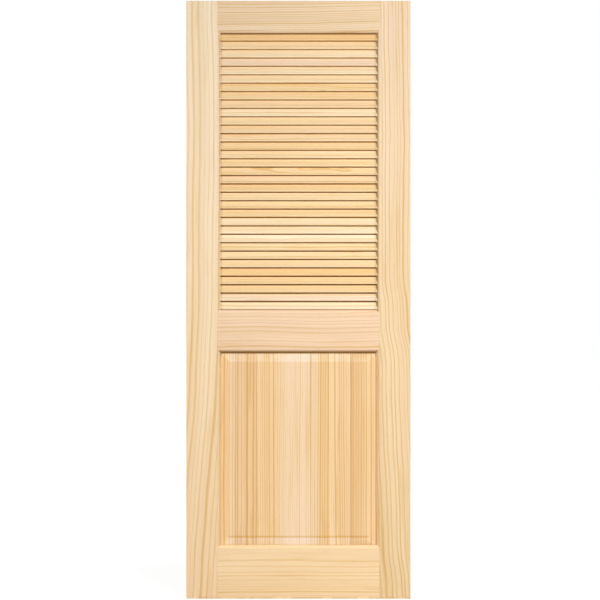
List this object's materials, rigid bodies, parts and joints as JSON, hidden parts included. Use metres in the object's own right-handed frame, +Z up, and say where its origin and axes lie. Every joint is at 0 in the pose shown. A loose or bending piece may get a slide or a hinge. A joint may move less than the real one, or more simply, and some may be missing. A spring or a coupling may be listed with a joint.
{
  "type": "louvred door",
  "caption": "Interior pine door slab with a dowelled frame, fixed louvre slats above the lock rail and a raised edge-glued panel below it.",
  "frame": {"origin": "middle of the bottom edge, halfway through the thickness", "axes": "+X to the right seen from the front, +Y from the front face to the back, +Z up"},
  "size_m": [0.762, 0.035, 2.032],
  "materials": {
    "stile_pine": "bare sanded pine, straight grain along the stile",
    "rail_pine": "bare sanded pine, grain along the rail",
    "slat_pine": "bare sanded pine, grain along the slat, tone varies from slat to slat",
    "panel_pine": "bare sanded pine, upright quarter-sawn grain, tone varies from stave to stave",
    "dowel_birch": "bare birch, hidden in the joints"
  },
  "bodies": {
    "root": {"stile_left": "stile_pine", "stile_right": "stile_pine", "rail_top": "rail_pine", "rail_lock": "rail_pine", "rail_bottom": "rail_pine", "louvre_slat_01": "slat_pine", "louvre_slat_02": "slat_pine", "louvre_slat_03": "slat_pine", "louvre_slat_04": "slat_pine", "louvre_slat_05": "slat_pine", "louvre_slat_06": "slat_pine", "louvre_slat_07": "slat_pine", "louvre_slat_08": "slat_pine", "louvre_slat_09": "slat_pine", "louvre_slat_10": "slat_pine", "louvre_slat_11": "slat_pine", "louvre_slat_12": "slat_pine", "louvre_slat_13": "slat_pine", "louvre_slat_14": "slat_pine", "louvre_slat_15": "slat_pine", "louvre_slat_16": "slat_pine", "louvre_slat_17": "slat_pine", "louvre_slat_18": "slat_pine", "louvre_slat_19": "slat_pine", "louvre_slat_20": "slat_pine", "louvre_slat_21": "slat_pine", "louvre_slat_22": "slat_pine", "louvre_slat_23": "slat_pine", "louvre_slat_24": "slat_pine", "louvre_slat_25": "slat_pine", "louvre_slat_26": "slat_pine", "louvre_slat_27": "slat_pine", "louvre_slat_28": "slat_pine", "louvre_slat_29": "slat_pine", "louvre_slat_30": "slat_pine", "louvre_slat_31": "slat_pine", "louvre_slat_32": "slat_pine", "louvre_slat_33": "slat_pine", "panel_stave_1": "panel_pine", "panel_stave_2": "panel_pine", "panel_stave_3": "panel_pine", "panel_stave_4": "panel_pine", "panel_stave_5": "panel_pine", "panel_stave_6": "panel_pine", "panel_stave_7": "panel_pine", "dowel_top_left_upper": "dowel_birch", "dowel_top_left_lower": "dowel_birch", "dowel_top_right_upper": "dowel_birch", "dowel_top_right_lower": "dowel_birch", "dowel_lock_left_upper": "dowel_birch", "dowel_lock_left_lower": "dowel_birch", "dowel_lock_right_upper": "dowel_birch", "dowel_lock_right_lower": "dowel_birch", "dowel_bottom_left_upper": "dowel_birch", "dowel_bottom_left_middle": "dowel_birch", "dowel_bottom_left_lower": "dowel_birch", "dowel_bottom_right_upper": "dowel_birch", "dowel_bottom_right_middle": "dowel_birch", "dowel_bottom_right_lower": "dowel_birch"}
  },
  "joints": []
}
